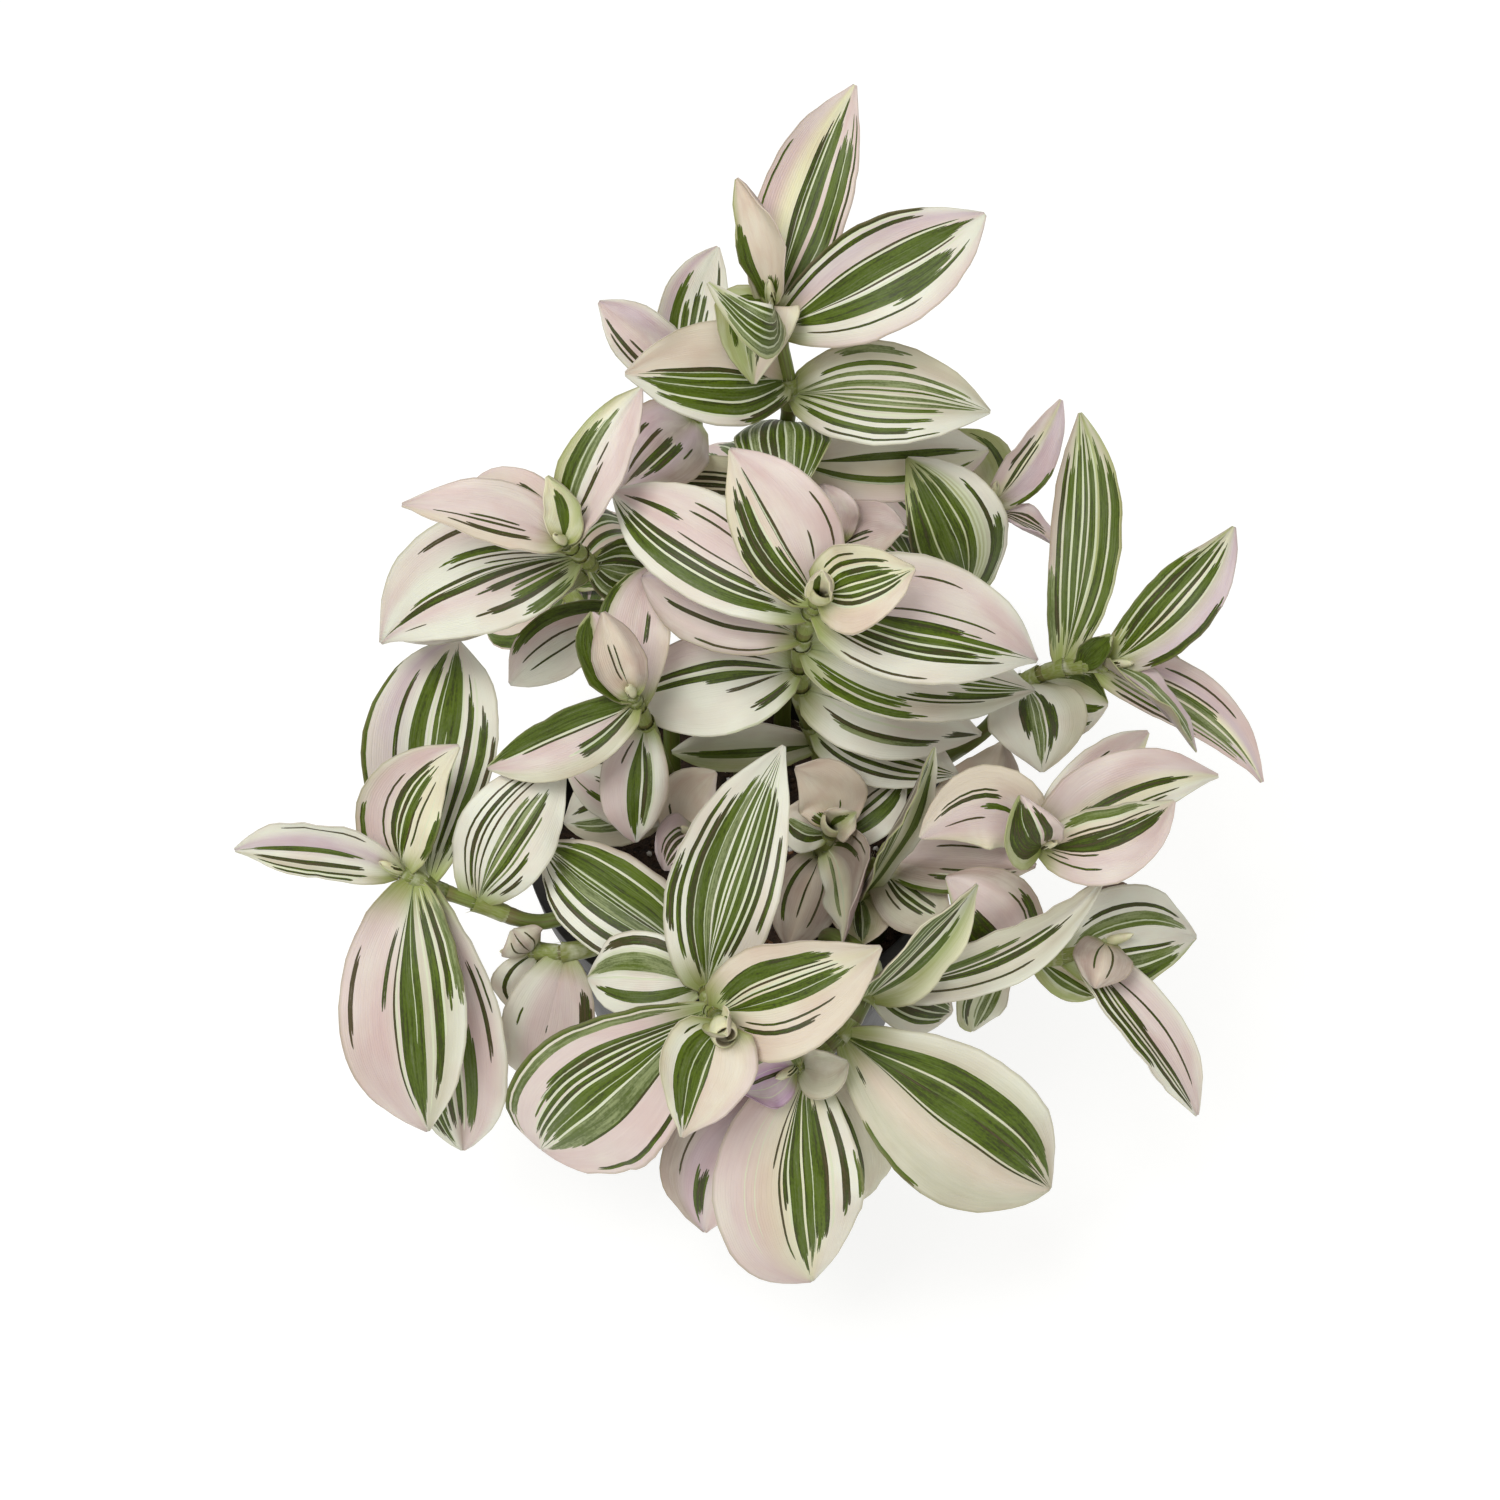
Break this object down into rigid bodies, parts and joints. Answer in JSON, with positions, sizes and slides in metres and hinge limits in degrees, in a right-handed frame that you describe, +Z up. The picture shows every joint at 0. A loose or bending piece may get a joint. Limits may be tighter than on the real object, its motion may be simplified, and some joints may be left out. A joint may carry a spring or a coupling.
{
  "type": "potted variegated tradescantia",
  "caption": "Round nursery pot filled with potting soil, with creeping leafy stems that carry broad pointed blades striped in green, white and pink.",
  "frame": {"origin": "middle of the pot's flat underside", "axes": "+Z up along the pot's axis; the plant is seen from the -Y side, with +X to the right"},
  "size_m": [0.2366, 0.2286, 0.2231],
  "materials": {
    "pot": "satin moulded plastic",
    "soil": "matt, crumbly",
    "leafy_stem": "soft sheen, striped green, white and pink"
  },
  "bodies": {
    "root": {"pot": "pot", "soil": "soil", "leafy_stem_back_tall": "leafy_stem", "leafy_stem_back_left": "leafy_stem", "leafy_stem_centre": "leafy_stem", "leafy_stem_left_middle": "leafy_stem", "leafy_stem_left_upper": "leafy_stem", "leafy_stem_left": "leafy_stem", "leafy_stem_low_left": "leafy_stem", "leafy_stem_front": "leafy_stem", "leafy_stem_front_right": "leafy_stem", "leafy_stem_right_low": "leafy_stem", "leafy_stem_right_front": "leafy_stem", "leafy_stem_right_far": "leafy_stem", "leafy_stem_right_back": "leafy_stem", "leafy_stem_back_small": "leafy_stem", "leafy_stem_middle": "leafy_stem", "leafy_stem_middle_left": "leafy_stem", "leafy_stem_inner_right": "leafy_stem", "leafy_stem_rear_left": "leafy_stem", "leafy_stem_rear_middle": "leafy_stem", "leafy_stem_rear_right": "leafy_stem"}
  },
  "joints": []
}
